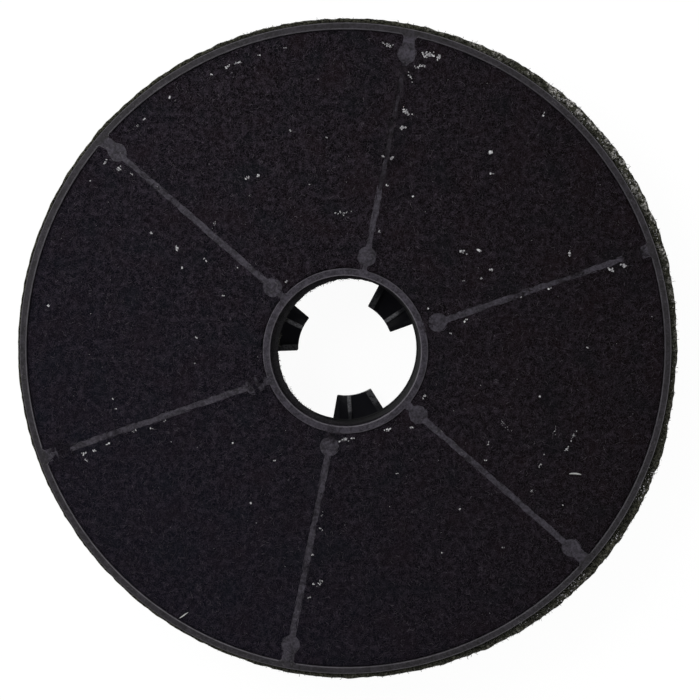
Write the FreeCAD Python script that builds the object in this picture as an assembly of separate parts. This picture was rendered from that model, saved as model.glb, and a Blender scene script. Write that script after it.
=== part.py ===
import FreeCAD, Part
import math
import os

# Cooker hood carbon filter, lying on its rear face with its front up.
# Lengths are in millimetres. Places round the filter are clock angles: degrees
# clockwise from +Y, as the front is seen. The origin is on the bore axis, in
# the plane of the rear face.

# Whole filter
rim_radius = 116.5
filter_depth = 28.0

# Grids: the rings and spokes of each face, and the front's pads, moulded in one
# layer. The front spokes point at a place a little beside the bore axis.
grid_depth = 2.2
edge_bevel = 0.3
rim_ring_width = 2.4
hub_ring_width = 2.6
spoke_count = 6
spoke_width = 2.4
first_spoke_angle = 11.1
spokes_meet_x = 0.85
spokes_meet_y = -0.73
pad_diameter = 7.0
outer_neck_length = 2.9
outer_neck_width = 4.4
outer_neck_flare = 1.3
inner_neck_length = 1.5
inner_neck_width = 2.8
inner_neck_flare = 0.6
neck_bite = 0.2
root_depth = 1.0

# Shell: side wall, hub sleeve and the wider rings of the rear grid
wall_thickness = 1.6
wall_inset = 0.4
wall_lean = 0.5
wall_corner_bevel = 1.2
rear_rim_ring_width = 5.0
bore_radius = 27.0
sleeve_wall = 1.6
collar_step = 0.3
collar_rise = 0.2
rear_hub_ring_width = 4.0

# Bayonet lugs at the rear end of the bore
lug_count = 3
first_lug_angle = 27.9
lug_span = 42.2
lug_inner_radius = 17.8
lug_thickness = 3.0
lug_corner_radius = 0.5
stop_width = 2.3
stop_height = 2.0
detent_angle = 28.0
detent_radius = 1.0
detent_height = 0.8
ramp_angle = 12.0
lead_in_width = 1.6
lead_in_angle = 35.0

# Fleece discs and the granules between them
fleece_thickness = 3.6
fleece_recess = 0.7
nip_thickness = 0.8
fleece_cut_radius = 117.9
fleece_hole_radius = 25.8
fleece_shift = 1.7
fleece_bore_clearance = 0.4
granule_clearance = 0.3

# Places worked out from the sizes above
z_axis = FreeCAD.Vector(0, 0, 1)
centre = FreeCAD.Vector(0, 0, 0)
front_grid_base = filter_depth - grid_depth
shell_top = front_grid_base - nip_thickness
wall_top_radius = rim_radius - wall_inset
sleeve_outer_radius = bore_radius + sleeve_wall
collar_radius = bore_radius - collar_step
collar_top = lug_thickness + stop_height + collar_rise
front_fleece_top = filter_depth - fleece_recess
front_fleece_base = front_fleece_top - fleece_thickness
rear_fleece_base = fleece_recess
rear_fleece_top = rear_fleece_base + fleece_thickness


def point(x, y, z=0.0):
    return FreeCAD.Vector(x, y, z)


def at_clock(shape, angle):
    """Turn a shape drawn along +Y to a clock angle."""
    turned = shape.copy()
    turned.rotate(centre, z_axis, -angle)
    return turned


def evenly_spaced(shape, first_angle, count):
    """Copies of a shape drawn along +Y, spread evenly from the first clock angle."""
    step = 360.0 / count
    return [at_clock(shape, first_angle + step * index) for index in range(count)]


def face_through(points):
    return Part.Face(Part.makePolygon(points + points[:1]))


def turned_solid(outline):
    """Revolve an outline of (radius, height) corners about the bore axis."""
    corners = [point(radius, 0, height) for radius, height in outline]
    return face_through(corners).revolve(centre, z_axis, 360)


def annulus(inner_radius, outer_radius, base, top):
    return turned_solid([
        (inner_radius, base),
        (outer_radius, base),
        (outer_radius, top),
        (inner_radius, top),
    ])


def disc(radius, place, base, top):
    return Part.makeCylinder(radius, top - base, point(place, 0, base))


def wall_radius(height):
    """Outer radius of the leaning side wall at a height."""
    return wall_top_radius - wall_lean * (1 - height / shell_top)


# Grids

def neck_plan(pad_place, ring_edge, neck_width, flare):
    """A neck from a pad to its ring, opening in an arc each side as it runs into the ring."""
    outward = math.copysign(1, ring_edge - pad_place)
    half = neck_width / 2
    wide = half + flare
    arc_end = math.sqrt(ring_edge ** 2 - wide ** 2) + outward * neck_bite
    arc_start = arc_end - outward * flare
    arc_middle = flare * (1 - math.sqrt(0.5))
    root = arc_end + outward * root_depth
    right_arc = Part.Arc(
        point(half, arc_start),
        point(half + arc_middle, arc_end - outward * arc_middle),
        point(wide, arc_end),
    )
    left_arc = Part.Arc(
        point(-wide, arc_end),
        point(-half - arc_middle, arc_end - outward * arc_middle),
        point(-half, arc_start),
    )
    ring_end = Part.makePolygon([
        point(wide, arc_end),
        point(wide, root),
        point(-wide, root),
        point(-wide, arc_end),
    ])
    pad_end = Part.makePolygon([
        point(-half, arc_start),
        point(-half, pad_place),
        point(half, pad_place),
        point(half, arc_start),
    ])
    edges = [right_arc.toShape()] + ring_end.Edges + [left_arc.toShape()] + pad_end.Edges
    return Part.Face(Part.Wire(edges))


def spoke_plan(inner_place, outer_place):
    corner = point(-spoke_width / 2, inner_place)
    return Part.makePlane(spoke_width, outer_place - inner_place, corner)


def pad_plan(place):
    return Part.Face(Part.Wire(Part.makeCircle(pad_diameter / 2, point(0, place))))


def raised(plan, base):
    """Solid of a grid's depth over a plan face, from a height up."""
    lifted = plan.copy()
    lifted.translate(point(0, 0, base))
    return lifted.extrude(z_axis * grid_depth)


def bevelled_face(solid, height):
    """Break every edge of a solid that lies in the plane at a height."""
    flat_edges = []
    for edge in solid.Edges:
        box = edge.BoundBox
        if max(abs(box.ZMin - height), abs(box.ZMax - height)) < edge_bevel / 10:
            flat_edges.append(edge)
    return solid.makeChamfer(edge_bevel, flat_edges)


def front_arms(hub_ring_edge, rim_ring_edge):
    """Spokes with a pad and a neck at each end, that join the front's two rings."""
    inner_place = hub_ring_edge + inner_neck_length + pad_diameter / 2
    outer_place = rim_ring_edge - outer_neck_length - pad_diameter / 2
    plans = [
        spoke_plan(inner_place, outer_place),
        pad_plan(inner_place),
        pad_plan(outer_place),
        neck_plan(inner_place, hub_ring_edge, inner_neck_width, inner_neck_flare),
        neck_plan(outer_place, rim_ring_edge, outer_neck_width, outer_neck_flare),
    ]
    arms = []
    for index in range(spoke_count):
        angle = first_spoke_angle + 360.0 / spoke_count * index
        turn = math.radians(angle)
        aside = spokes_meet_x * math.cos(turn) - spokes_meet_y * math.sin(turn)
        for plan in plans:
            piece = raised(plan, front_grid_base)
            piece.translate(point(aside, 0))
            arms.append(at_clock(piece, angle))
    return arms


def rear_spokes(hub_ring_edge, rim_ring_edge):
    """Plain spokes that run into the rear's two rings."""
    spoke = raised(spoke_plan(hub_ring_edge - root_depth, rim_ring_edge + root_depth), 0)
    return evenly_spaced(spoke, first_spoke_angle, spoke_count)


def front_frame():
    hub_ring_edge = bore_radius + hub_ring_width
    rim_ring_edge = rim_radius - rim_ring_width
    hub_ring = annulus(bore_radius, hub_ring_edge, front_grid_base, filter_depth)
    rim_ring = annulus(rim_ring_edge, rim_radius, front_grid_base, filter_depth)
    rings = [bevelled_face(ring, filter_depth) for ring in (hub_ring, rim_ring)]
    arms = front_arms(hub_ring_edge, rim_ring_edge)
    return rings[0].fuse(rings[1:] + arms).removeSplitter()


# Shell with its sleeve and lugs

def side_wall():
    """Leaning wall, and the flat ring that its foot turns into over a bevelled corner."""
    ring_edge = wall_radius(0) - rear_rim_ring_width
    return turned_solid([
        (ring_edge, 0),
        (wall_radius(0) - wall_corner_bevel, 0),
        (wall_radius(wall_corner_bevel), wall_corner_bevel),
        (wall_top_radius, shell_top),
        (wall_top_radius - wall_thickness, shell_top),
        (wall_radius(grid_depth) - wall_thickness, grid_depth),
        (ring_edge, grid_depth),
    ])


def lug_block():
    """Sector that holds a whole lug, clockwise from +Y, with rounded inner corners."""
    height = lug_thickness + stop_height
    outline = face_through([
        point(0, lug_inner_radius, 0),
        point(0, bore_radius + sleeve_wall / 2, 0),
        point(0, bore_radius + sleeve_wall / 2, height),
        point(0, lug_inner_radius, height),
    ])
    block = outline.revolve(centre, z_axis * -1, lug_span)
    corners = []
    for edge in block.Edges:
        end = edge.Vertexes[0].Point
        upright = edge.BoundBox.ZLength > height / 2
        if upright and abs(math.hypot(end.x, end.y) - lug_inner_radius) < 1e-6:
            corners.append(edge)
    return block.makeFillet(lug_corner_radius, corners)


def radial_bar(outline):
    """Bar along +Y over the whole lug, from an outline of (clockwise, height) corners."""
    corners = [point(across, 0, height) for across, height in outline]
    return face_through(corners).extrude(point(0, bore_radius + sleeve_wall, 0))


def lug():
    """Bayonet lug: a seat between a stop wall and a detent rib, then a ramp and a lead-in."""
    block = lug_block()
    above = lug_thickness + stop_height + 1
    middle_radius = (lug_inner_radius + bore_radius) / 2
    ramp_slope = math.tan(math.radians(ramp_angle))
    lead_in_slope = math.tan(math.radians(lead_in_angle))
    ramp_run = middle_radius * math.radians(lug_span - detent_angle)
    lead_in_top = lug_thickness - ramp_slope * (ramp_run - lead_in_width)
    reach = 2 * ramp_run
    over_ramp = radial_bar([
        (0, lug_thickness),
        (reach, lug_thickness - ramp_slope * reach),
        (reach, above),
        (0, above),
    ])
    over_lead_in = radial_bar([
        (-lead_in_width, lead_in_top),
        (lead_in_width, lead_in_top - 2 * lead_in_width * lead_in_slope),
        (lead_in_width, above),
        (-lead_in_width, above),
    ])
    over_seat = annulus(lug_inner_radius / 2, bore_radius + sleeve_wall, lug_thickness, above)
    stop = radial_bar([
        (0, 0),
        (stop_width, 0),
        (stop_width, above),
        (0, above),
    ])
    rib_axis = point(0, 0, lug_thickness + detent_height - detent_radius)
    rib = Part.makeCylinder(detent_radius, bore_radius + sleeve_wall, rib_axis, point(0, 1, 0))
    plate = block.cut([
        over_seat,
        at_clock(over_ramp, detent_angle),
        at_clock(over_lead_in, lug_span),
    ])
    return plate.fuse([
        block.common(stop),
        block.common(at_clock(rib, detent_angle)),
    ])


def hub_sleeve():
    """Sleeve with a collar at its rear end that stands in by a step and carries the lugs."""
    return turned_solid([
        (collar_radius, edge_bevel),
        (sleeve_outer_radius, edge_bevel),
        (sleeve_outer_radius, shell_top),
        (bore_radius, shell_top),
        (bore_radius, collar_top),
        (collar_radius, collar_top),
    ])


def rear_frame():
    hub_ring_edge = bore_radius + rear_hub_ring_width
    rim_ring_edge = wall_radius(0) - rear_rim_ring_width
    hub_ring = bevelled_face(annulus(collar_radius, hub_ring_edge, 0, grid_depth), 0)
    spokes = rear_spokes(hub_ring_edge, rim_ring_edge)
    lugs = evenly_spaced(lug(), first_lug_angle, lug_count)
    return side_wall().fuse([hub_ring, hub_sleeve()] + spokes + lugs).removeSplitter()


# Soft pieces

def front_fleece(front, rear):
    """Fleece face. Its edges are nipped between front grid and shell, and laid off centre."""
    face = annulus(
        sleeve_outer_radius,
        wall_top_radius - wall_thickness / 2,
        front_fleece_base,
        front_fleece_top,
    )
    sheet = disc(fleece_cut_radius, fleece_shift, shell_top, front_grid_base)
    hole = disc(fleece_hole_radius, fleece_shift, shell_top, front_grid_base)
    bore = disc(bore_radius + fleece_bore_clearance, 0, shell_top, front_grid_base)
    return face.fuse(sheet.cut([hole, bore])).cut([front, rear])


def rear_fleece(rear):
    blank = annulus(
        sleeve_outer_radius,
        wall_radius(0) - wall_thickness / 2,
        rear_fleece_base,
        rear_fleece_top,
    )
    return blank.cut(rear)


def carbon_bed():
    inner = sleeve_outer_radius + granule_clearance
    inset = wall_thickness + granule_clearance
    return turned_solid([
        (inner, rear_fleece_top),
        (wall_radius(rear_fleece_top) - inset, rear_fleece_top),
        (wall_radius(front_fleece_base) - inset, front_fleece_base),
        (inner, front_fleece_base),
    ])


front = front_frame()
rear = rear_frame()
pieces = {
    "front_frame": front,
    "front_fleece": front_fleece(front, rear),
    "carbon_bed": carbon_bed(),
    "rear_fleece": rear_fleece(rear),
    "rear_frame": rear,
}

os.makedirs("parts", exist_ok=True)
for name, shape in pieces.items():
    shape.exportStep("parts/" + name + ".step")
    print(name, "solids", len(shape.Solids), "volume", round(shape.Volume), "valid", shape.isValid())
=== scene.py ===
import math

import bpy
import numpy as np
from mathutils import Matrix, Vector


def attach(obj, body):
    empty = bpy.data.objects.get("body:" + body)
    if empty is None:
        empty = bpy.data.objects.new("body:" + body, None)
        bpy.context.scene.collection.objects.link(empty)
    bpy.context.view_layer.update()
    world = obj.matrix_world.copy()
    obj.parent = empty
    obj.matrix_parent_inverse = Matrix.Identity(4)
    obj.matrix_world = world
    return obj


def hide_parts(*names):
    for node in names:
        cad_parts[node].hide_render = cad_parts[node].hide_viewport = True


# Cooker hood carbon filter. Sizes are in millimetres until a mesh or a lamp is
# made. Clock angles are degrees clockwise from +Y, as the front face is seen.

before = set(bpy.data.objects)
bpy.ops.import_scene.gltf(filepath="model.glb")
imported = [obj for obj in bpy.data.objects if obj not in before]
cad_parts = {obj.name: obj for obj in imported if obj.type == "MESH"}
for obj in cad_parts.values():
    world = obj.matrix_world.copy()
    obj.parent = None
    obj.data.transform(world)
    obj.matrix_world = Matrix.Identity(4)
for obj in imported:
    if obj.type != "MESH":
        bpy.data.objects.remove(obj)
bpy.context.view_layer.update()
MM = 0.001

# Frame sizes

RIM_RADIUS = 116.5
FRONT_HEIGHT = 28.0
BORE_RADIUS = 27.0
SLEEVE_RADIUS = 28.6
LUG_SEAT = 3.0
ARM_COUNT = 6
FIRST_ARM = 11.1
ARM_STEP = 360.0 / ARM_COUNT
SPOKE_HALF = 1.2
PAD_RADIUS = 3.5
OUTER_NECK = {"half": 2.2, "flare": 1.3}
INNER_NECK = {"half": 1.4, "flare": 0.6}

# Each face has its grid's inner plane, the way out of it, and the places where
# its rings end, where its pads sit and where its arms point. The fleece never
# stands more than "highest" above the inner plane. Its rows are "coarse" apart,
# and "fine" apart by the pads and the rim ring.
FRONT = {
    "grid_plane": 25.8,
    "outward": 1,
    "hub_edge": 29.6,
    "rim_edge": 114.1,
    "pads": (34.6, 107.7),
    "arms_meet": (0.85, -0.73),
    "highest": 3.0,
    "coarse": 0.86,
    "fine": 0.42,
    "seed": 11,
}
REAR = {
    "grid_plane": 2.2,
    "outward": -1,
    "hub_edge": 31.0,
    "rim_edge": 110.6,
    "pads": (),
    "arms_meet": (0.0, 0.0),
    "highest": 2.05,
    "coarse": 1.3,
    "fine": 0.6,
    "seed": 57,
}
GRID_DEPTH = 2.2

# Where each random draw starts, and each noise beside the faces' own.
SEEDS = {
    "bore edge": 71,
    "cut edge": 81,
    "cut edge, frayed": 83,
    "cut edge, bumps": 84,
    "bore fibres' height": 93,
    "front curls": 201,
    "matted curls": 202,
    "pale fibres": 203,
    "fringe": 204,
    "bore fibres": 205,
    "lint": 206,
    "fringe bits": 207,
    "rear curls": 208,
    "threads": 209,
    "fringe bunches": 301,
}

# Camera


def link_object(name, data):
    """A new object in the scene, which holds a mesh, a lamp or a camera."""
    made = bpy.data.objects.new(name, data)
    bpy.context.scene.collection.objects.link(made)
    return made


# The photograph's width, and how far its middle lies off the camera's axis, in
# pixels.
PHOTO_WIDTH = 700
SHIFT_ACROSS = 4.51
SHIFT_UP = 1.19

camera_distance = 500.0
camera_tilt = math.radians(2.312)
camera_turn = math.radians(0.035)
focal_length = 71.98
sensor_width = 36.0

away = Vector((
    math.sin(camera_turn) * math.cos(camera_tilt),
    math.sin(camera_tilt),
    math.cos(camera_turn) * math.cos(camera_tilt),
))
camera_data = bpy.data.cameras.new("camera")
camera_data.lens = focal_length
camera_data.sensor_width = sensor_width
camera_data.shift_x = SHIFT_ACROSS / PHOTO_WIDTH
camera_data.shift_y = SHIFT_UP / PHOTO_WIDTH
camera_data.clip_start = 0.01
camera_data.clip_end = 20.0
camera = link_object("camera", camera_data)
camera.location = (Vector((0, 0, FRONT_HEIGHT)) + away * camera_distance) * MM
rightward = Vector((0, 1, 0)).cross(away).normalized()
camera.rotation_mode = "QUATERNION"
camera.rotation_quaternion = Matrix((rightward, away.cross(rightward), away)).transposed().to_quaternion()
bpy.context.scene.camera = camera

# Mesh making


def new_piece(name, points, faces, material, smooth=True):
    """A mesh of its own from points in millimetres, riding on the filter."""
    mesh = bpy.data.meshes.new(name)
    mesh.from_pydata((points * MM).tolist(), [], faces)
    mesh.materials.append(material)
    mesh.polygons.foreach_set("use_smooth", [smooth] * len(mesh.polygons))
    mesh.update()
    piece = link_object(name, mesh)
    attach(piece, "root")
    return piece


def placed(radius, clock):
    """x and y at a distance from the bore axis and a clock angle."""
    turn = np.radians(clock)
    return radius * np.sin(turn), radius * np.cos(turn)


def soft_noise(x, y, lump, seed):
    """Smooth random numbers from -1 to 1 over the plane, with lumps of a given size."""
    size = 256
    lattice = np.random.default_rng(seed).uniform(-1, 1, (size, size))
    across, up = np.asarray(x) / lump, np.asarray(y) / lump
    column, row = np.floor(across).astype(int), np.floor(up).astype(int)
    u, v = across - column, up - row
    u, v = u * u * (3 - 2 * u), v * v * (3 - 2 * v)
    left, right = column % size, (column + 1) % size
    low, high = row % size, (row + 1) % size
    near = lattice[left, low] * (1 - u) + lattice[right, low] * u
    far = lattice[left, high] * (1 - u) + lattice[right, high] * u
    return near * (1 - v) + far * v


def noise_sum(x, y, layers, seed):
    """Soft noises on top of one another. Each layer has its strength and its lumps' size."""
    return sum(strength * soft_noise(x, y, lump, seed + k) for k, (strength, lump) in enumerate(layers))


def round_table(table, clock):
    """Values between the entries of a table of (clock angle, value), all the way round."""
    angles, values = zip(*table)
    return np.interp(clock, angles, values, period=360)


# Arms of the grids


def neck_half(from_ring, neck):
    """Half width of a neck at a distance from its ring, with the flare's arc."""
    inside = np.clip(neck["flare"] - from_ring, 0, neck["flare"])
    arc = neck["flare"] - np.sqrt(neck["flare"] ** 2 - inside ** 2)
    return neck["half"] + arc


def arm_half(radius, face):
    """Half width of an arm at each distance from the bore axis."""
    radius = np.asarray(radius, float)
    half = np.full(radius.shape, SPOKE_HALF)
    if not face["pads"]:
        return half
    for place in face["pads"]:
        pad = np.sqrt(np.clip(PAD_RADIUS ** 2 - (radius - place) ** 2, 0, None))
        half = np.maximum(half, pad)
    inner_pad, outer_pad = face["pads"]
    inner = neck_half(radius - face["hub_edge"], INNER_NECK)
    outer = neck_half(face["rim_edge"] - radius, OUTER_NECK)
    half = np.where(radius < inner_pad, np.maximum(half, inner), half)
    return np.where(radius > outer_pad, np.maximum(half, outer), half)


def arm_aside(arm, face):
    """How far clockwise of the bore axis an arm's middle line passes."""
    turn = np.radians(FIRST_ARM + np.asarray(arm) * ARM_STEP)
    x, y = face["arms_meet"]
    return x * np.cos(turn) - y * np.sin(turn)


def beside_arm(x, y, face):
    """Distance from the side of the nearest arm, less than nothing on the arm, and that arm."""
    radius = np.hypot(x, y)
    clock = np.degrees(np.arctan2(x, y)) % 360
    turns = (clock - FIRST_ARM) / ARM_STEP
    arm = np.round(turns)
    across = radius * np.sin(np.radians((turns - arm) * ARM_STEP)) - arm_aside(arm, face)
    return np.abs(across) - arm_half(radius, face), (arm % ARM_COUNT).astype(int)


# Stretches of the front arms that the fleece has grown over: arm, from radius,
# to radius, and how thickly.
OVERGROWN = [
    (0, 58.0, 84.0, 0.55),
    (0, 80.0, 101.0, 0.66),
    (0, 99.0, 104.3, 0.9),
    (1, 28.4, 32.2, 1.0),
    (1, 60.0, 72.0, 0.35),
    (1, 80.0, 90.0, 0.4),
    (1, 103.4, 112.0, 1.0),
    (2, 56.0, 68.0, 0.22),
    (3, 28.4, 32.2, 1.0),
    (3, 52.0, 64.0, 0.2),
    (3, 76.0, 100.0, 0.24),
    (4, 30.0, 37.6, 0.72),
    (4, 84.0, 92.0, 0.35),
    (4, 103.6, 110.7, 0.97),
    (5, 80.0, 96.0, 0.22),
]

# Stretches where the fleece closes in from both sides of an arm: arm, from
# radius, to radius, and how far it reaches at each end.
TAPERED = [
    (0, 29.4, 31.4, 0.75, 0.5),
    (5, 29.4, 31.6, 0.45, 0.5),
    (1, 99.5, 103.5, 0.0, 0.7),
    (1, 112.0, 114.0, 1.3, 0.5),
    (4, 99.5, 104.8, 0.0, 0.8),
    (4, 110.0, 114.0, 2.0, 0.0),
]
THINNEST_COVER = 0.12
COVER_FADE = 1.5


def overgrowth(radius, arm, face):
    """How thickly fibres lie over an arm, from 0 to 1."""
    thick = np.full(np.shape(radius), THINNEST_COVER)
    if face is REAR:
        return thick
    for which, start, end, amount in OVERGROWN:
        into = np.minimum(radius - start, end - radius)
        share = np.clip(into / COVER_FADE, 0, 1) * amount
        thick = np.where(arm == which, np.maximum(thick, share), thick)
    return thick


# Fleece

# Heights are above the grid's inner plane. Each pinch has its depth and its
# width, and each layer of noise its strength and the size of its lumps.
FLEECE_LEVEL = 1.5
FLEECE_BODY = -2.1
UNDER_GRID = -0.1
FLEECE_LUMPS = ((0.20, 8.0), (0.19, 2.9), (0.15, 1.3))
BORE_EDGE_NOISE = ((0.13, 1.4), (0.07, 0.5))
CUT_EDGE_NOISE = ((0.35, 2.2), (0.22, 0.9))
RIM_PINCH = (0.2, 3.6)
HUB_PINCH = (0.12, 2.0)
ARM_RISE = 0.68
ARM_RISE_COVERED = 0.35
ARM_RISE_WIDTH = 1.6
COVER_LEVEL = 2.44
COVERED_FROM = 0.72
ARM_SIDE = 0.1
CREEP_LEVEL = 2.24
CREEP = {"base": 0.14, "along": 0.18, "fine": 0.26, "cover": 0.5, "most": 0.75}
FIELD_COLUMNS = 82
FIELD_INSET = 0.12
NEAR_PAD = 4.4
NEAR_RIM = 2
ROW_SPREAD = 0.22
COLUMN_SPREAD = 0.28
NIP_FLOOR = -0.78
FRINGE_START = 116.62

# What lies under a column of the mesh: fleece, an arm, or the side of an arm.
FREE, UNDER_ARM, ARM_EDGE = 0, 1, 2
ARM_COLUMNS = [FREE, ARM_EDGE, UNDER_ARM, UNDER_ARM, UNDER_ARM, ARM_EDGE, FREE]

# Where the front fleece is cut outside the rim ring and inside the bore.
CUT_RADIUS = [
    (0, 118.3), (20, 118.8), (32, 119.6), (45, 120.35), (62, 120.3), (75, 119.75),
    (86, 118.9), (98, 118.9), (110, 119.75), (120, 120.2), (130, 120.3), (145, 119.9),
    (155, 119.35), (166, 118.7), (180, 118.65), (192, 118.2), (205, 117.7), (230, 117.48),
    (255, 117.6), (280, 117.52), (300, 117.75), (320, 118.1), (340, 118.25),
]
HOLE_RADIUS = 25.8
FLEECE_SHIFT = 1.7
LIP_RADIUS = 29.4
SEAT_RADIUS = 28.8
NIP_RADIUS = 116.3
WALL_RADIUS = 114.35
REAR_WALL_RADIUS = 113.8

# Rows of the mesh. The cut edge in the bore: distance out of it, height.
BORE_EDGE_ROWS = ((0.12, -0.72), (0.0, -0.42))
# From the bore's edge to the lip: share of the way, height.
LIP_ROWS = ((0.06, -0.1), (0.25, -0.03), (0.5, -0.06), (0.8, -0.08), (1.0, UNDER_GRID))
# Over and under the fringe: share of the way to the cut edge, rise or drop.
FRINGE_TOP = ((0.12, 0.1), (0.35, 0.34), (0.62, 0.42), (0.86, 0.3), (1.0, -0.05))
FRINGE_BOTTOM = ((1.0, -0.45), (0.9, -0.85), (0.5, -1.25), (0.15, -1.05))
# Under the rim ring, and along the hidden side of each fleece: distance from
# the bore axis, height.
UNDER_RIM_ROWS = ((FRONT["rim_edge"] + 0.02, UNDER_GRID), (115.4, -0.08))
HIDDEN_ROWS = (
    (114.6, NIP_FLOOR), (WALL_RADIUS, -1.0), (114.3, FLEECE_BODY), (80, FLEECE_BODY),
    (50, FLEECE_BODY), (SEAT_RADIUS, FLEECE_BODY), (28.7, NIP_FLOOR), (28.2, NIP_FLOOR),
)
REAR_HIDDEN_ROWS = (
    (REAR["rim_edge"] + 0.02, UNDER_GRID),
    (REAR_WALL_RADIUS, UNDER_GRID), (113.7, FLEECE_BODY), (80, FLEECE_BODY),
    (50, FLEECE_BODY), (SEAT_RADIUS, FLEECE_BODY),
)
REAR_SLEEVE_RADII = (28.75, 30.2)


def fleece_height(x, y, face):
    """Height of the fleece above its grid's inner plane."""
    radius = np.hypot(x, y)
    beside, arm = beside_arm(x, y, face)
    beside = np.clip(beside, 0, None)
    lumps = noise_sum(x, y, FLEECE_LUMPS, face["seed"])
    from_rim = np.clip(face["rim_edge"] - radius, 0, None)
    from_hub = np.clip(radius - face["hub_edge"], 0, None)
    pinch = 0
    for away_from, (depth, width) in ((from_rim, RIM_PINCH), (from_hub, HUB_PINCH)):
        pinch = pinch + depth * np.exp(-((away_from / width) ** 2))
    rise = ARM_RISE + ARM_RISE_COVERED * overgrowth(radius, arm, face)
    rise = rise * np.exp(-beside / ARM_RISE_WIDTH)
    smooth = 1 - 0.6 * np.exp(-from_rim / 2.5)
    return np.minimum(FLEECE_LEVEL + lumps * smooth + rise - pinch, face["highest"])


def hole_radius(clock):
    """Distance from the bore axis to the edge of the off-centre hole."""
    turn = np.radians(clock)
    edge = FLEECE_SHIFT * np.sin(turn)
    edge = edge + np.sqrt(HOLE_RADIUS ** 2 - (FLEECE_SHIFT * np.cos(turn)) ** 2)
    return np.minimum(edge, BORE_RADIUS + 0.45)


def creep(radius, arm, side, face):
    """How far the fleece's fibres reach over the side of an arm, on the front."""
    if face is REAR:
        return 0.0
    along = soft_noise(radius / 4.0, arm * 7.3 + side * 3.1, 1.0, face["seed"] + 3)
    fine = soft_noise(radius / 1.1, arm * 5.7 + side * 2.3, 1.0, face["seed"] + 4)
    thick = float(overgrowth(np.array(radius), np.array(arm), face))
    reach = CREEP["base"] + CREEP["along"] * along + CREEP["fine"] * fine + CREEP["cover"] * thick
    reach = min(max(reach, 0.0), CREEP["most"])
    for which, start, end, at_start, at_end in TAPERED:
        if arm == which and start <= radius <= end:
            share = (radius - start) / (end - start)
            reach = max(reach, at_start + (at_end - at_start) * share + 0.2 * fine)
    return reach


def fleece_clocks(radius, face):
    """Clock angles of the mesh's columns at a radius, and what lies under each."""
    inside = min(max(radius, face["hub_edge"] + 0.1), face["rim_edge"] - 0.1)
    half = float(arm_half(inside, face))
    edges = []
    for index in range(ARM_COUNT):
        left = half - creep(inside, index, 0, face)
        right = half - creep(inside, index, 1, face)
        offsets = [-left - ARM_SIDE, -left, -left / 2, 0, right / 2, right, right + ARM_SIDE]
        middle = FIRST_ARM + index * ARM_STEP
        aside = float(arm_aside(index, face))
        turns = [math.degrees(math.asin((aside + offset) / inside)) for offset in offsets]
        edges.append([middle + turn for turn in turns])
    clocks, under = [], []
    for index, arm_clocks in enumerate(edges):
        clocks += arm_clocks
        under += ARM_COLUMNS
        start = arm_clocks[-1]
        end = edges[(index + 1) % ARM_COUNT][0] + (360 if index + 1 == ARM_COUNT else 0)
        step = (end - start) / (FIELD_COLUMNS + 1)
        clocks += [start + step * (k + 1) for k in range(FIELD_COLUMNS)]
        under += [FREE] * FIELD_COLUMNS
    return np.array(clocks), np.array(under)


def field_radii(face):
    """Radii of the rows between the rings, closer together by the pads and the rim ring."""
    start, end = face["hub_edge"] + FIELD_INSET, face["rim_edge"] - FIELD_INSET
    radii = [start]
    while radii[-1] < end:
        last = radii[-1]
        by_pad = any(abs(last - place) < NEAR_PAD for place in face["pads"])
        by_rim = end - last < NEAR_RIM
        radii.append(last + (face["fine"] if by_pad or by_rim else face["coarse"]))
    radii[-1] = end
    return radii


def field_row(radius, face, rng):
    """One row of the fleece's face. It dips under the arms, or lies over an overgrown one."""
    clocks, under = fleece_clocks(radius, face)
    loose = under == FREE
    loose[1:] &= under[:-1] == FREE
    loose[:-1] &= under[1:] == FREE
    spread = ROW_SPREAD * face["fine"]
    radii = np.full(len(clocks), radius)
    radii = radii + np.where(loose, rng.uniform(-spread, spread, len(clocks)), 0)
    step = 360.0 / len(clocks)
    clocks = clocks + np.where(loose, rng.uniform(-COLUMN_SPREAD, COLUMN_SPREAD, len(clocks)) * step, 0)
    x, y = placed(radii, clocks)
    height = fleece_height(x, y, face)
    beside, arm = beside_arm(x, y, face)
    height = np.where((under == FREE) & (beside < 0), np.maximum(height, CREEP_LEVEL), height)
    ragged = 0.25 * soft_noise(x, y, 1.6, face["seed"] + 5)
    covered = overgrowth(radii, arm, face) + ragged > COVERED_FROM
    over = COVER_LEVEL + 0.12 * soft_noise(x, y, 1.2, face["seed"] + 6)
    at_side = np.where(beside < -0.02, GRID_DEPTH - 0.02, UNDER_GRID)
    height = np.where((under == UNDER_ARM) & ~covered, UNDER_GRID, height)
    height = np.where((under == ARM_EDGE) & ~covered, at_side, height)
    return clocks, radii, np.where((under != FREE) & covered, over, height)


def fleece_mesh(face, inner_rows, outer_rows):
    """Closed fleece ring: rows out along its face, and back along its hidden side."""
    rng = np.random.default_rng(face["seed"])
    field_rows = [field_row(radius, face, rng) for radius in field_radii(face)]
    rows = inner_rows + field_rows + outer_rows
    points, count = [], len(rows[0][0])
    for clocks, radii, heights in rows:
        z = face["grid_plane"] + face["outward"] * heights
        points.append(np.stack([*placed(radii, clocks), z], axis=1))
    corner = np.arange(len(rows) * count).reshape(len(rows), count)
    beyond = np.roll(corner, -1, axis=0)
    order = (corner, np.roll(corner, -1, axis=1), np.roll(beyond, -1, axis=1), beyond)
    if face["outward"] < 0:
        order = order[::-1]
    faces = np.stack([part.ravel() for part in order], axis=1)
    return np.concatenate(points), faces.tolist()


def level_row(clocks, radii, height):
    """A row at one height."""
    return clocks, radii, np.full(len(clocks), height)


def plain_row(face, radius, height):
    """A row at one radius and one height."""
    clocks, _ = fleece_clocks(radius, face)
    return level_row(clocks, np.full(len(clocks), float(radius)), height)


def plain_rows(face, places):
    """Rows at several radii and heights."""
    return [plain_row(face, radius, height) for radius, height in places]


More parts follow.
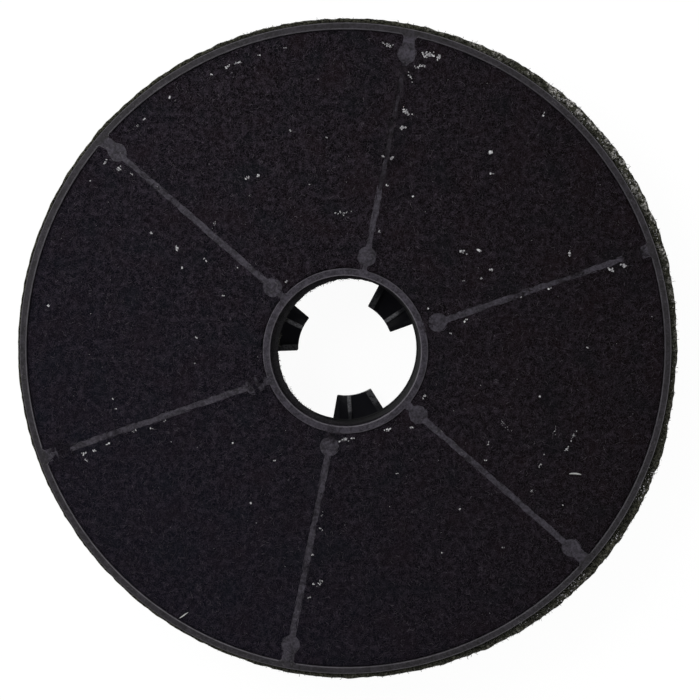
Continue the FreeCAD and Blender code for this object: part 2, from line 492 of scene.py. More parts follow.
def front_inner_rows():
    """The cut edge in the bore, the lip over the sleeve, and the way under the hub ring."""
    clocks, _ = fleece_clocks(HOLE_RADIUS, FRONT)
    edge = hole_radius(clocks)
    x, y = placed(edge, clocks)
    ragged = noise_sum(x, y, BORE_EDGE_NOISE, SEEDS["bore edge"])
    edge = np.where(edge < BORE_RADIUS, edge + ragged, edge)
    rows = [level_row(clocks, edge + out, height) for out, height in BORE_EDGE_ROWS]
    for share, height in LIP_ROWS:
        rows.append(level_row(clocks, edge + (LIP_RADIUS - edge) * share, height))
    return rows + [plain_row(FRONT, FRONT["hub_edge"] + 0.06, UNDER_GRID)]


def front_outer_rows():
    """Under the rim ring to the ragged cut edge, and back through the nip and the hidden side."""
    clocks, _ = fleece_clocks(RIM_RADIUS, FRONT)
    edge = round_table(CUT_RADIUS, clocks)
    x, y = placed(edge, clocks)
    ragged = noise_sum(x, y, CUT_EDGE_NOISE, SEEDS["cut edge"])
    stands_out = np.clip(edge - RIM_RADIUS, 0, 3.0) / 3.0
    edge = edge + ragged * (0.2 + 0.8 * stands_out)
    frayed = 0.35 * soft_noise(x, y, 1.7, SEEDS["cut edge, frayed"]) * stands_out
    inside = np.minimum(edge - 0.15, FRINGE_START)
    rows = plain_rows(FRONT, UNDER_RIM_ROWS)
    rows.append(level_row(clocks, inside, -0.1))
    for share, lift in FRINGE_TOP:
        radii = inside + (edge - inside) * share
        bumps = 0.28 * soft_noise(*placed(radii, clocks), 0.9, SEEDS["cut edge, bumps"])
        rows.append((clocks, radii, -0.1 + (lift + bumps + frayed) * stands_out))
    for share, drop in FRINGE_BOTTOM:
        radii = inside + (edge - inside) * share
        rows.append((clocks, radii, NIP_FLOOR + 0.35 + (drop - 0.35 + frayed) * stands_out))
    rows.append(level_row(clocks, np.minimum(inside, NIP_RADIUS), NIP_FLOOR))
    return rows + plain_rows(FRONT, HIDDEN_ROWS)


def rear_inner_rows():
    """Under the hub ring, out from the sleeve."""
    radii = (*REAR_SLEEVE_RADII, REAR["hub_edge"] + 0.06)
    return [plain_row(REAR, radius, UNDER_GRID) for radius in radii]


def rear_outer_rows():
    """Under the rim ring to the side wall, and back along the hidden side."""
    return plain_rows(REAR, REAR_HIDDEN_ROWS)


# Strands

# How much each kind of fibre bends at its joints.
WANDER = {"loose": 0.62, "matted": 0.55, "fringe": 0.5, "bore": 0.6, "thread": 0.05}
LOWEST_FIBRE = 0.15
FIBRE_SUNK = 0.06
STRAY_ON_ARM = 0.22


def surface_height(x, y, face):
    """Outward height of what a loose fibre lies on: fleece, or the arm where one shows."""
    beside, _ = beside_arm(x, y, face)
    height = fleece_height(x, y, face)
    return np.where(beside < ARM_SIDE, np.maximum(height, GRID_DEPTH), height)


def strands(x, y, heading, length, wander, thickness, lift, level, rng, joints=5):
    """Thin curved fibres with three sides. level gives the height under each point."""
    count = len(x)
    turns = rng.normal(0, 1, (count, joints)) * wander + rng.normal(0, 0.5, (count, 1)) * wander
    turns[:, 0] = 0
    headings = heading[:, None] + np.cumsum(turns, axis=1)
    step = (length / (joints - 1))[:, None]
    along_x = np.cumsum(np.cos(headings) * step, axis=1) - np.cos(headings[:, :1]) * step
    along_y = np.cumsum(np.sin(headings) * step, axis=1) - np.sin(headings[:, :1]) * step
    px, py = x[:, None] + along_x, y[:, None] + along_y
    share = np.linspace(0, 1, joints)[None, :]
    rise = lift[:, None] * np.sin(np.pi * share) - FIBRE_SUNK
    pz = np.maximum(level(px, py) + rise, LOWEST_FIBRE)
    taper = (thickness[:, None] / 2) * (0.55 + 0.45 * np.sin(np.pi * np.clip(share, 0.08, 0.92)))
    side_x, side_y = -np.sin(headings), np.cos(headings)
    corners = []
    for angle in (90, 210, 330):
        out, up = math.cos(math.radians(angle)), math.sin(math.radians(angle))
        corner = [px + side_x * taper * out, py + side_y * taper * out, pz + taper * up]
        corners.append(np.stack(corner, axis=2))
    points = np.stack(corners, axis=2).reshape(-1, 3)
    index = np.arange(count * joints * 3).reshape(count, joints, 3)
    quads = []
    for k in range(3):
        a, b = index[:, :-1, k], index[:, :-1, (k + 1) % 3]
        c, d = index[:, 1:, (k + 1) % 3], index[:, 1:, k]
        quads.append(np.stack([a, b, c, d], axis=2).reshape(-1, 4))
    faces = np.concatenate(quads).tolist()
    faces += index[:, 0, ::-1].tolist()
    faces += index[:, -1, :].tolist()
    return points, faces


def joined(parts):
    """Several (points, faces) as one."""
    points, faces, start = [], [], 0
    for part_points, part_faces in parts:
        points.append(np.asarray(part_points))
        faces += [[corner + start for corner in face] for face in part_faces]
        start += len(part_points)
    return np.concatenate(points), faces


def level_on(face):
    """Height in the filter's frame of what lies on a face."""
    def level(x, y):
        return face["grid_plane"] + face["outward"] * surface_height(x, y, face)
    return level


def scattered(face, count, rng, arms):
    """Places over a face's fleece. Few lie on an arm, and more where the arm is overgrown."""
    innermost, outermost = face["hub_edge"] + 0.1, face["rim_edge"] - 0.2
    radius = np.sqrt(rng.uniform(innermost ** 2, outermost ** 2, count * 2))
    x, y = placed(radius, rng.uniform(0, 360, count * 2))
    beside, arm = beside_arm(x, y, face)
    chance = np.where(beside < 1.2, np.maximum(overgrowth(radius, arm, face) * arms, STRAY_ON_ARM), 1.0)
    keep = rng.uniform(0, 1, count * 2) < chance
    return x[keep][:count], y[keep][:count]


def curls(face, x, y, rng, wander, length, thickness, lift):
    """Curled fibres that lie every way, at given places on a face."""
    n = len(x)
    return strands(
        x, y,
        rng.uniform(0, 2 * math.pi, n),
        rng.uniform(*length, n),
        wander,
        rng.uniform(*thickness, n),
        rng.uniform(*lift, n) * face["outward"],
        level_on(face),
        rng,
    )


def face_strands(face, count, seed, arms=0.6, **measures):
    """Loose fibres curled over a face."""
    rng = np.random.default_rng(seed)
    x, y = scattered(face, count, rng, arms)
    return curls(face, x, y, rng, WANDER["loose"], **measures)


def matted_strands(face, stretches, per_mm, seed, **measures):
    """Fibres matted across the overgrown stretches of the arms."""
    rng = np.random.default_rng(seed)
    xs, ys = [], []
    for arm, start, end, amount in stretches:
        count = int((end - start) * per_mm * amount)
        radius = rng.uniform(start, end, count)
        across = rng.normal(0, 1, count) * (arm_half(radius, face) * 0.55 + 0.5)
        across = across + arm_aside(arm, face)
        turn = math.radians(FIRST_ARM + arm * ARM_STEP)
        xs.append(radius * math.sin(turn) + across * math.cos(turn))
        ys.append(radius * math.cos(turn) - across * math.sin(turn))
    x, y = np.concatenate(xs), np.concatenate(ys)
    return curls(face, x, y, rng, WANDER["matted"], **measures)


# The fringe's clock angles, the height its fibres lie at, and its full width.
FRINGE_CLOCKS = (-25, 205)
FRINGE_LEVEL = 25.75
FRINGE_WIDTH = 3.6


def fringe_strands(count, seed, thickness, reach, bunch):
    """Fibres lying along and across the cut edge beyond the rim ring."""
    rng = np.random.default_rng(seed)
    clock = rng.uniform(*FRINGE_CLOCKS, count * 3)
    width = round_table(CUT_RADIUS, clock % 360) - RIM_RADIUS
    lively = 0.6 + 0.4 * soft_noise(clock / 4.0, clock * 0, 1.0, bunch)
    keep = rng.uniform(0, 1, count * 3) < np.clip(width / FRINGE_WIDTH, 0.05, 1) * lively
    clock, width = clock[keep][:count], width[keep][:count]
    n = len(clock)
    turn = np.radians(clock)
    along_edge = rng.uniform(0, 1, n) < 0.7
    radius = RIM_RADIUS + 0.1 + width * rng.uniform(0.0, 0.88, n)
    x, y = placed(radius, clock)
    heading = -turn + np.where(rng.uniform(0, 1, n) < 0.5, 0, math.pi)
    heading = heading + rng.normal(0, 0.45, n) + np.where(along_edge, 0, rng.normal(0, 1.2, n))
    length = rng.uniform(*reach, n) * np.where(along_edge, 1.0, 0.5) * np.clip(width / 3.0, 0.4, 1.0)

    def level(px, py):
        out = np.clip(np.hypot(px, py) - RIM_RADIUS, 0, FRINGE_WIDTH) / FRINGE_WIDTH
        arch = 0.5 - 0.6 * out ** 3
        return FRINGE_LEVEL + arch + 0.25 * soft_noise(px, py, 0.8, bunch + 1)

    return strands(
        x, y, heading, length, WANDER["fringe"], rng.uniform(*thickness, n),
        rng.uniform(0.0, 0.25, n), level, rng,
    )


# Stretches of the bore's edge where the fleece is most frayed: clock angles
# and how many fibres.
FRAYED_BORE = [(205, 268, 200), (268, 312, 60), (312, 352, 150), (352, 372, 40)]
BORE_FIBRE_LEVEL = 25.4


def bore_strands(seed):
    """Fibres frayed from the hole's edge, where it stands into the bore."""
    rng = np.random.default_rng(seed)
    clock = np.concatenate([rng.uniform(start, end, n) for start, end, n in FRAYED_BORE])
    n = len(clock)
    turn = np.radians(clock)
    radius = hole_radius(clock) + rng.uniform(-0.15, 0.5, n)
    x, y = placed(radius, clock)
    heading = rng.choice((0.0, math.pi), n) - turn + rng.normal(0, 0.5, n)

    def level(px, py):
        return BORE_FIBRE_LEVEL + 0.22 * soft_noise(px, py, 0.7, SEEDS["bore fibres' height"])

    return strands(
        x, y, heading, rng.uniform(0.4, 1.1, n), WANDER["bore"], rng.uniform(0.08, 0.15, n),
        rng.uniform(-0.1, 0.1, n), level, rng,
    )


# Lint

# Flecks of lint on the front: x, y, how far they spread, the way they lie
# (degrees from +X), how many bits and how large they are. Most of the places
# were read from the photograph. The bits within them fall by chance.
LINT = [
    (29.4, 105.2, 3.4, -12, 34, 0.75), (33.3, 104.5, 1.1, 60, 11, 0.7), (26.6, 101.0, 2.0, 8, 18, 0.6),
    (14.5, 108.8, 2.4, -25, 15, 0.6), (23.1, 97.1, 1.8, -60, 9, 0.6), (21.7, 84.8, 2.2, -35, 24, 0.75),
    (20.3, 79.5, 1.5, 20, 22, 0.8), (13.2, 69.3, 0.6, 0, 4, 0.6), (16.7, 68.9, 0.9, 20, 6, 0.75),
    (14.9, 59.0, 0.7, 0, 4, 0.5), (12.1, 43.0, 1.0, 80, 5, 0.45), (23.9, 55.1, 0.4, 0, 2, 0.5),
    (-1.1, 49.4, 3.0, 5, 15, 0.5), (-19.5, 78.5, 0.5, 0, 2, 0.6), (-6.7, 76.0, 0.6, 0, 3, 0.5),
    (-12.8, 59.3, 0.5, 0, 3, 0.5), (-34.9, 61.9, 1.4, 20, 11, 0.5), (-30.9, 62.6, 0.9, 40, 6, 0.5),
    (-38.0, 102.5, 1.5, 10, 13, 0.5), (-41.8, 100.9, 1.2, 35, 11, 0.55), (-21.3, 107.7, 0.8, 0, 4, 0.5),
    (-30.5, 105.2, 0.7, 0, 4, 0.45), (-47.5, 98.2, 0.6, 0, 3, 0.5), (-62.5, 90.1, 0.8, 70, 6, 0.5),
    (-71.4, 82.5, 0.9, 45, 6, 0.45), (-74.3, 79.8, 1.9, 50, 9, 0.3), (-85.4, 67.3, 1.2, 60, 10, 0.5),
    (-80.9, 64.8, 1.3, 30, 16, 0.6),
    (-76.0, 63.0, 0.9, -30, 8, 0.45), (-90.7, 60.8, 0.5, 0, 2, 0.5), (-69.2, 42.3, 0.5, -40, 4, 0.6),
    (-60.2, 36.5, 1.0, 80, 7, 0.85), (-58.2, 29.7, 0.6, -40, 5, 0.6), (-50.1, 32.6, 0.9, -50, 5, 0.5),
    (-43.9, 19.9, 0.7, 0, 4, 0.5), (-21.4, 24.9, 0.8, 30, 6, 0.5), (-106.1, 16.3, 0.6, 0, 5, 0.7),
    (-53.4, 4.8, 0.6, -40, 4, 0.6), (70.4, 84.1, 0.9, 75, 7, 0.55), (51.5, 70.7, 0.35, 30, 9, 1.25),
    (52.3, 63.2, 1.0, -15, 6, 0.55), (41.9, 35.4, 1.6, -38, 14, 0.6), (47.8, 35.9, 1.0, -20, 10, 0.65),
    (79.9, 34.8, 1.2, 75, 8, 0.6), (52.1, 29.1, 1.0, 10, 6, 0.5), (48.5, 25.9, 0.8, 0, 5, 0.5),
    (42.1, 25.2, 0.6, 0, 3, 0.5), (94.5, 29.1, 1.3, -25, 13, 0.75), (99.1, 30.6, 1.7, -10, 12, 0.6),
    (72.8, 22.4, 0.8, 20, 5, 0.5), (62.8, 19.2, 0.6, 0, 3, 0.5), (29.3, 15.2, 0.7, 0, 4, 0.5),
    (42.9, 11.3, 1.2, 40, 6, 0.5), (37.5, 6.3, 0.6, 0, 3, 0.5), (86.5, 1.3, 0.5, 0, 2, 0.5),
    (-83.1, -17.3, 0.6, 0, 3, 0.5), (-82.4, -20.6, 0.5, 0, 2, 0.5), (-54.0, -4.4, 0.5, 0, 2, 0.5),
    (-64.8, -25.2, 0.7, 0, 3, 0.5), (-69.5, -27.7, 0.6, 0, 3, 0.5), (-94.0, -36.7, 1.6, 20, 10, 0.55),
    (-90.0, -35.7, 1.0, 0, 6, 0.5), (-85.0, -33.1, 0.9, 30, 6, 0.5), (-40.5, -33.1, 0.4, 0, 2, 0.5),
    (-25.5, -39.3, 0.3, 0, 3, 0.7), (-34.1, -54.4, 0.3, 0, 3, 0.65), (0.0, -31.7, 2.3, 12, 16, 0.55),
    (15.1, -28.1, 1.5, 15, 10, 0.6), (23.3, -27.7, 1.2, 50, 7, 0.5), (2.5, -31.3, 1.0, 0, 6, 0.5),
    (28.3, -15.9, 1.5, 60, 9, 0.55), (69.4, -16.2, 0.5, 0, 2, 0.5), (81.7, -30.4, 1.9, 75, 12, 0.45),
    (79.4, -34.9, 1.5, 60, 10, 0.45), (69.8, -41.0, 1.1, 45, 8, 0.42), (40.9, -56.6, 0.6, 0, 3, 0.5),
    (18.3, -43.9, 0.5, 0, 3, 0.5), (56.8, -70.7, 0.7, 0, 4, 0.5), (34.9, -72.5, 0.5, 0, 2, 0.5),
    (-9.7, -83.7, 2.6, 8, 13, 0.6), (-13.0, -88.8, 0.6, 0, 4, 0.5), (-11.9, -73.2, 0.7, 0, 5, 0.5),
    (-8.9, -63.8, 0.8, -30, 6, 0.4), (75.1, -28.6, 1.7, 80, 8, 0.32), (71.4, -37.1, 0.4, 0, 2, 0.4),
    (78.0, -55.3, 0.4, 90, 2, 0.4), (67.5, -50.1, 1.8, 20, 10, 0.26), (57.0, -26.3, 3.0, -50, 16, 0.28),
    (51.0, -33.1, 1.5, 70, 10, 0.28), (50.3, -39.2, 1.0, 0, 8, 0.34), (-75.7, -28.6, 1.2, 25, 8, 0.32),
    (-62.4, -32.6, 0.3, 0, 2, 0.4), (-92.9, -39.2, 0.8, -40, 8, 0.45), (-38.5, 29.8, 0.3, 0, 2, 0.4),
    (-46.9, 45.3, 1.2, 70, 8, 0.24), (-34.0, 55.5, 1.0, 50, 8, 0.24), (-8.4, -59.0, 1.0, 80, 8, 0.26),
    (-21.9, -77.5, 0.3, 0, 2, 0.3),
]
LONE_FLECK = 1.5
GROUPED_FLECK = 1.3
LONE_UP_TO = 7
STRAY_LINT = 90
STRAY_RADII = (31, 112)


def lint_bit(centre, size, rng):
    """A tiny crumpled flake: an eight-sided bit pulled out of shape."""
    ends = np.array([[1, 0, 0], [-1, 0, 0], [0, 1, 0], [0, -1, 0], [0, 0, 0.45], [0, 0, -0.45]])
    ends = ends * rng.uniform(0.5, 1.35, (6, 1)) + rng.normal(0, 0.14, (6, 3))
    turn = Matrix.Rotation(rng.uniform(0, 2 * math.pi), 3, "Z")
    lean = Matrix.Rotation(rng.normal(0, 0.5), 3, "X")
    ends = ends @ np.array(turn @ lean).T
    faces = [[0, 2, 4], [2, 1, 4], [1, 3, 4], [3, 0, 4], [2, 0, 5], [1, 2, 5], [3, 1, 5], [0, 3, 5]]
    return centre + ends * size / 2, faces


def lint_bits(seed):
    """All the flecks of lint on the front face."""
    rng = np.random.default_rng(seed)
    level = level_on(FRONT)
    parts = []
    for x, y, spread, lie, count, largest in LINT:
        turn = math.radians(lie)
        for _ in range(count):
            along, across = rng.normal(0, 0.42) * spread, rng.normal(0, 0.16) * spread
            bx = x + along * math.cos(turn) - across * math.sin(turn)
            by = y + along * math.sin(turn) + across * math.cos(turn)
            larger = LONE_FLECK if count <= LONE_UP_TO else GROUPED_FLECK
            size = rng.uniform(0.5, 1.1) * largest * larger
            z = float(level(np.array(bx), np.array(by))) + 0.12 * size + 0.04
            parts.append(lint_bit(np.array([bx, by, z]), size, rng))
    for _ in range(STRAY_LINT):
        radius = math.sqrt(rng.uniform(*(end ** 2 for end in STRAY_RADII)))
        turn = rng.uniform(0, 2 * math.pi)
        bx, by = radius * math.sin(turn), radius * math.cos(turn)
        z = float(level(np.array(bx), np.array(by))) + 0.05
        parts.append(lint_bit(np.array([bx, by, z]), rng.uniform(0.14, 0.34), rng))
    return joined(parts)


# Stretches of the cut edge with pale bits caught in it: clock angles, how many
# and how large.
PALE_EDGE_BITS = [
    (38, 42, 26, 0.6), (43, 47, 22, 0.55), (49, 52, 22, 0.6), (53, 64, 70, 0.6), (66, 74, 24, 0.5),
    (74, 108, 30, 0.4), (111, 117, 44, 0.75), (123.5, 126, 14, 0.6), (133, 140, 44, 0.7), (141, 152, 24, 0.5),
]
PALE_BIT_HEIGHTS = (26.1, 26.6)


def fringe_bits(seed):
    """Pale bits caught in the frayed edge at the right."""
    rng = np.random.default_rng(seed)
    parts = []
    for start, end, count, largest in PALE_EDGE_BITS:
        for _ in range(count):
            clock = rng.uniform(start, end)
            width = float(round_table(CUT_RADIUS, clock)) - RIM_RADIUS
            radius = RIM_RADIUS + width * rng.uniform(0.1, 0.95)
            turn = math.radians(clock)
            height = rng.uniform(*PALE_BIT_HEIGHTS)
            centre = np.array([radius * math.sin(turn), radius * math.cos(turn), height])
            parts.append(lint_bit(centre, rng.uniform(0.18, largest), rng))
    return joined(parts)


# Node arrangement


def feed(socket, value):
    """Links an input socket to an output, or sets it to a plain value."""
    if isinstance(value, bpy.types.NodeSocket):
        socket.id_data.links.new(value, socket)
    else:
        socket.default_value = value


def feed_inputs(node, inputs):
    """Feeds a node's inputs, by their names or places."""
    for name, value in inputs.items():
        feed(node.inputs[name], value)


def add_node(tree, kind, inputs=None, **settings):
    """A shader node with its settings, and its inputs linked or set."""
    node = tree.nodes.new("ShaderNode" + kind)
    for name, value in settings.items():
        setattr(node, name, value)
    feed_inputs(node, inputs or {})
    return node


def new_group(name, inputs, outputs):
    """An empty node group with float or colour sockets."""
    tree = bpy.data.node_groups.new(name, "ShaderNodeTree")
    for socket, kind, value in inputs:
        made = tree.interface.new_socket(name=socket, in_out="INPUT", socket_type="NodeSocket" + kind)
        made.default_value = value
    for socket, kind in outputs:
        tree.interface.new_socket(name=socket, in_out="OUTPUT", socket_type="NodeSocket" + kind)
    return tree, tree.nodes.new("NodeGroupInput").outputs, tree.nodes.new("NodeGroupOutput")


def use_group(tree, group, inputs=None):
    """The outputs of a shared group, used in a material."""
    return add_node(tree, "Group", inputs, node_tree=group).outputs


def tree_of(*values):
    """The node tree of the first socket among some values."""
    return next(value.id_data for value in values if isinstance(value, bpy.types.NodeSocket))


def arithmetic(operation, a, b=0.0, clamp=False):
    """What an operation makes of two sockets or numbers."""
    node = add_node(tree_of(a, b), "Math", {0: a, 1: b}, operation=operation, use_clamp=clamp)
    return node.outputs[0]


def add(a, b, clamp=False):
    """The sum of two sockets or numbers."""
    return arithmetic("ADD", a, b, clamp)


def multiply(a, b, clamp=False):
    """The product of two sockets or numbers."""
    return arithmetic("MULTIPLY", a, b, clamp)


def blend(share, a, b):
    """Colour a, turned into colour b by a share."""
    node = add_node(tree_of(share, a, b), "Mix", data_type="RGBA")
    for name, value in (("Factor", share), ("A", a), ("B", b)):
        feed(next(s for s in node.inputs if s.name == name and s.enabled), value)
    return next(s for s in node.outputs if s.enabled)


def between(value, low, high, to_low=0.0, to_high=1.0):
    """A value's place between two bounds, spread over a new range and kept within it."""
    return add_node(value.id_data, "MapRange", {
        "Value": value, "From Min": low, "From Max": high, "To Min": to_low, "To Max": to_high,
    }).outputs[0]


def between_mm(value, low, high, to_low=0.0, to_high=1.0):
    """The same for a length, with its bounds in millimetres."""
    return between(value, low * MM, high * MM, to_low, to_high)


def object_place(tree):
    """The place of each point of a surface."""
    return add_node(tree, "TexCoord").outputs["Object"]


def noise(place, scale, detail=2.0, roughness=0.5):
    """Noise from 0 to 1 over a surface."""
    return add_node(place.id_data, "TexNoise", {
        "Vector": place, "Scale": scale, "Detail": detail, "Roughness": roughness,
    }).outputs["Fac"]


def split(vector):
    """The X, Y and Z of a vector."""
    return add_node(vector.id_data, "SeparateXYZ", {"Vector": vector}).outputs


def flattened(parts):
    """A vector without its height, from its parts."""
    return add_node(parts["X"].id_data, "CombineXYZ", {"X": parts["X"], "Y": parts["Y"]}).outputs[0]


def vector_work(operation, *inputs):
    """The node of an operation on vectors."""
    return add_node(tree_of(*inputs), "VectorMath", dict(enumerate(inputs)), operation=operation)


def bumped(height, strength, distance, invert=False):
    """The way a surface faces, roughened by a height."""
    return add_node(height.id_data, "Bump", {
        "Height": height, "Strength": strength, "Distance": distance,
    }, invert=invert).outputs[0]


def tone(red, green, blue):
    """A colour written as it is seen, from 0 to 255, as linear light."""
    def linear(value):
        value = value / 255
        return value / 12.92 if value <= 0.04045 else ((value + 0.055) / 1.055) ** 2.4
    return (linear(red), linear(green), linear(blue), 1.0)


def scaled(colour, amount):
    """A colour made lighter or darker."""
    return tuple(part * amount for part in colour[:3]) + (1.0,)


# Shared effects

# Clock angle where the cut edge is palest, its colours, and how far the curls
# of the fleece wander, in metres.
PALEST_EDGE = math.radians(51)
WOOL_DARK = tone(16, 17, 13)
WOOL_LIGHT = tone(98, 98, 84)
WOOL_PALEST = tone(214, 211, 206)
CURL_WANDER = 0.0022


def moulded_grain_group():
    """Fine skin of moulded plastic: a height, and a slow cloudiness."""
    tree, given, out = new_group(
        "moulded_grain",
        [("Grain Scale", "Float", 1400.0), ("Cloud Scale", "Float", 60.0)],
        [("Height", "Float"), ("Cloud", "Float")],
    )
    place = object_place(tree)
    feed_inputs(out, {
        "Height": noise(place, given["Grain Scale"], 3.0, 0.6),
        "Cloud": noise(place, given["Cloud Scale"], 4.0, 0.55),
    })
    return tree


def painted_edge_highlight_group():
    """Mask of the moulded edges round the open faces, for a painted highlight broken up by noise."""
    tree, given, out = new_group(
        "painted_edge_highlight", [("Width", "Float", 0.0004), ("Breakup Scale", "Float", 300.0)], [("Mask", "Float")],
    )
    rounded = add_node(tree, "Bevel", {"Radius": given["Width"]}, samples=8)
    slope = arithmetic("ABSOLUTE", split(rounded.outputs["Normal"])["Z"])
    turned = multiply(between(slope, 0.985, 0.9), between(slope, 0.3, 0.55))
    patchy = between(noise(object_place(tree), given["Breakup Scale"], 3.0), 0.25, 0.6, 0.45, 1.0)
    feed(out.inputs["Mask"], multiply(turned, patchy, clamp=True))
    return tree


def settled_dust_group():
    """Mask of fine dust lying on what faces up."""
    tree, given, out = new_group(
        "settled_dust", [("Amount", "Float", 0.3), ("Fleck Scale", "Float", 700.0)], [("Mask", "Float")],
    )
    place = object_place(tree)
    sharp = between(noise(place, given["Fleck Scale"], 4.0, 0.7), 0.56, 0.72)
    lie = between(noise(place, 45.0), 0.35, 0.7)
    way = split(add_node(tree, "NewGeometry").outputs["Normal"])
    mask = multiply(multiply(sharp, lie), between(way["Z"], 0.3, 0.95))
    feed(out.inputs["Mask"], multiply(mask, given["Amount"], clamp=True))
    return tree


def needled_mottle_group():
    """Colour and height of needled fleece: dark pits, lighter curls and a slow drift of hue."""
    tree, given, out = new_group(
        "needled_mottle",
        [
            ("Dark", "Color", tone(20, 17, 22)),
            ("Light", "Color", tone(44, 39, 46)),
            ("Warm", "Color", tone(38, 27, 26)),
            ("Cool", "Color", tone(26, 31, 33)),
            ("Curl Scale", "Float", 1100.0),
        ],
        [("Colour", "Color"), ("Height", "Float")],
    )
    place = object_place(tree)
    wander = add_node(tree, "TexNoise", {"Vector": place, "Scale": 420.0, "Detail": 2.0})
    shifted = vector_work("MULTIPLY_ADD", wander.outputs["Color"], (CURL_WANDER,) * 3, place)
    cells = add_node(tree, "TexVoronoi", {
        "Vector": shifted.outputs[0], "Scale": given["Curl Scale"],
    }, feature="DISTANCE_TO_EDGE")
    threads = between(cells.outputs["Distance"], 0.0, 0.11, 1.0, 0.0)
    fuzz = noise(place, 2500.0, 3.0, 0.7)
    light = multiply(threads, between(fuzz, 0.35, 0.65))
    light = arithmetic("MAXIMUM", light, between(fuzz, 0.54, 0.72, 0.0, 0.95))
    pale_clumps = between(noise(place, 480.0, 3.0, 0.6), 0.46, 0.68, 0.0, 0.33)
    colour = blend(add(light, pale_clumps, clamp=True), given["Dark"], given["Light"])
    hue = noise(place, 75.0)
    colour = blend(between(hue, 0.52, 0.7, 0.0, 0.4), colour, given["Warm"])
    colour = blend(between(hue, 0.48, 0.3, 0.0, 0.4), colour, given["Cool"])
    feed_inputs(out, {"Colour": colour, "Height": add(threads, fuzz)})
    return tree


def frayed_wool_group():
    """Colour of the frayed cut edge: dark olive grey, with pale clusters most at the upper right."""
    tree, given, out = new_group(
        "frayed_wool", [("Cluster Scale", "Float", 520.0)], [("Colour", "Color")],
    )
    place = object_place(tree)
    patches = noise(place, 1150.0, 3.0, 0.7)
    flat = flattened(split(place))
    palest = (math.sin(PALEST_EDGE), math.cos(PALEST_EDGE), 0.0)
    toward = vector_work("DOT_PRODUCT", vector_work("NORMALIZE", flat).outputs[0], palest)
    reach = vector_work("LENGTH", flat).outputs["Value"]
    outward = between_mm(reach, RIM_RADIUS + 0.8, RIM_RADIUS + 2.2, 0.3, 1.0)
    bright = between(noise(place, given["Cluster Scale"]), 0.5, 0.58)
    bright = multiply(bright, between(patches, 0.44, 0.56, 0.1, 1.0))
    bright = multiply(bright, between(toward.outputs["Value"], 0.76, 0.96, 0.1, 1.0))
    colour = blend(between(patches, 0.38, 0.66), WOOL_DARK, WOOL_LIGHT)
    feed(out.inputs["Colour"], blend(multiply(bright, outward), colour, WOOL_PALEST))
    return tree


moulded_grain = moulded_grain_group()
painted_edge_highlight = painted_edge_highlight_group()
settled_dust = settled_dust_group()
needled_mottle = needled_mottle_group()
frayed_wool = frayed_wool_group()

# Materials

RIM_BLACK = tone(19, 18, 14)
DUST_GREY = tone(120, 118, 120)
# Painted shade of the bore wall.
BORE_WALL_PAINTED_SHADE = tone(28, 28, 29)
LUG_BLACK = tone(29, 29, 33)
CUT_EDGE_IN_BORE = tone(47, 47, 47)
LOWER_LEFT_BLUE = tone(24, 26, 40)
# Painted shade of the fleece toward the right.
RIGHT_PAINTED_SHADE = tone(19, 11, 8)

# Distances from the bore axis over which a ring's colour and its painted edge highlight change, and how far
# to either side of the axis the rim's painted highlight goes on changing.
RIM_STARTS = (113.2, 113.9)
RIM_MIDDLE = (115.2, 115.5)
HUB_MIDDLE = (28.2, 28.8)
HUB_ENDS = (31.6, 30.2)
HIGHLIGHT_REACH = 80


def new_material(name):
    """A material with one shader on its surface."""
    material = bpy.data.materials.new(name)
    material.use_nodes = True
    tree = material.node_tree
    tree.nodes.clear()
    shader = add_node(tree, "BsdfPrincipled")
    add_node(tree, "OutputMaterial", {"Surface": shader.outputs[0]})
    return material, tree, shader


def moulded_plastic(name, body, pale, roughness, has_bore):
    """Black moulded polypropylene, with a painted highlight along the edges of its rings."""
    material, tree, shader = new_material(name)
    grain = use_group(tree, moulded_grain, {"Grain Scale": 1300.0, "Cloud Scale": 380.0})
    edge = use_group(tree, painted_edge_highlight, {"Width": 0.0005, "Breakup Scale": 260.0})
    dust = use_group(tree, settled_dust, {"Amount": 0.6, "Fleck Scale": 1000.0})
    parts = split(object_place(tree))
    reach = vector_work("LENGTH", flattened(parts)).outputs["Value"]
    on_rim = between_mm(reach, *RIM_STARTS)
    highlit_edges = multiply(edge["Mask"], painted_edge_highlights(reach, parts["X"], on_rim))
    speckled = between(grain["Height"], 0.42, 0.58)
    cloudy = multiply(between(grain["Cloud"], 0.4, 0.6), 0.4)
    colour = blend(add(cloudy, multiply(speckled, 0.6)), scaled(body, 0.42), scaled(body, 1.75))
    colour = blend(multiply(on_rim, 0.5), colour, RIM_BLACK)
    # Painted highlight: the moulded edges are turned toward the pale colour.
    colour = blend(multiply(highlit_edges, 0.85), colour, pale)
    colour = blend(dust["Mask"], colour, DUST_GREY)
    rough = between(grain["Height"], 0.3, 0.7, roughness - 0.06, roughness + 0.06)
    if has_bore:
        colour, rough = bore_finish_and_painted_light(reach, parts["Z"], colour, rough, roughness, speckled)
    feed_inputs(shader, {
        "Base Color": colour,
        "Roughness": rough,
        "Normal": bumped(grain["Height"], 0.35, 0.00008),
        "Specular IOR Level": 0.2,
    })
    return material


def painted_edge_highlights(reach, across, on_rim):
    """How strongly each moulded edge gets its painted highlight: the rings' inner edges most, the arms'
    hardly, and the rim's edges most where they face right.
    """
    middle_start, middle_end = RIM_MIDDLE
    left_most = between_mm(across, HIGHLIGHT_REACH, -HIGHLIGHT_REACH, 0.35, 1.0)
    right_most = between_mm(across, -HIGHLIGHT_REACH, HIGHLIGHT_REACH, 0.25, 0.7)
    rim = add(
        multiply(between_mm(reach, middle_end, middle_start), left_most),
        multiply(between_mm(reach, middle_start, middle_end), right_most),
    )
    hub = multiply(between_mm(reach, *HUB_ENDS), between_mm(reach, *HUB_MIDDLE, 1.0, 0.35))
    return arithmetic("MAXIMUM", arithmetic("MAXIMUM", multiply(rim, on_rim), hub), 0.1)


